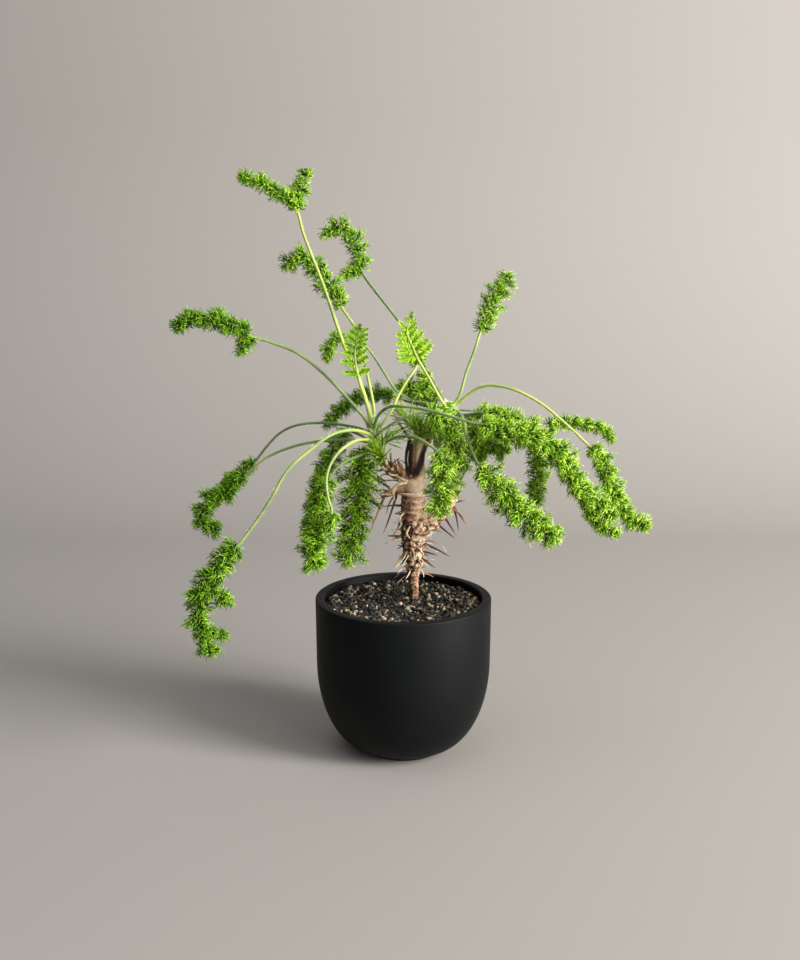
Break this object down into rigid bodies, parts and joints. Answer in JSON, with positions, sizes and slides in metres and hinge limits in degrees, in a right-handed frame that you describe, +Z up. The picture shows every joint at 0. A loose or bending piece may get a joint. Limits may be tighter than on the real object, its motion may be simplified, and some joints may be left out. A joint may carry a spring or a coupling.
{
  "type": "potted pelargonium",
  "caption": "Small potted pelargonium with a knobbly, thorny forked stem and long stalked, finely cut feathery leaves in a round matt black pot.",
  "frame": {"origin": "centre of the flat base of the pot", "axes": "+Z up, -Y towards the side that the picture shows, +X to the right of it"},
  "size_m": [0.2768, 0.1108, 0.3401],
  "materials": {
    "pot": "matte",
    "grit": "matte",
    "bark": "matte",
    "shoot": "matte",
    "leaf": "matte"
  },
  "bodies": {
    "root": {"pot": "pot", "soil": "grit", "stem": "bark", "shoot_left": "shoot", "shoot_top": "shoot", "shoot_side": "shoot", "leaf_tall": "leaf", "leaf_hook": "leaf", "leaf_upright": "leaf", "leaf_front_small": "leaf", "leaf_left": "leaf", "leaf_low_left": "leaf", "leaf_mid_left": "leaf", "leaf_back_left": "leaf", "leaf_pale": "leaf", "leaf_hanging_front": "leaf", "leaf_hanging_middle": "leaf", "leaf_hanging_back": "leaf", "leaf_broad": "leaf", "leaf_back_dark": "leaf", "leaf_back_short": "leaf", "leaf_back_small": "leaf", "leaf_crossing": "leaf", "leaf_top_right": "leaf", "leaf_arch": "leaf", "leaf_back_right": "leaf", "leaf_long_right": "leaf", "leaf_inner_right": "leaf", "leaf_front_hanging": "leaf", "leaf_low_right": "leaf", "leaf_under_right": "leaf", "leaf_inner_top": "leaf", "leaf_side": "leaf", "tuft_middle": "leaf", "tuft_left": "leaf"}
  },
  "joints": []
}
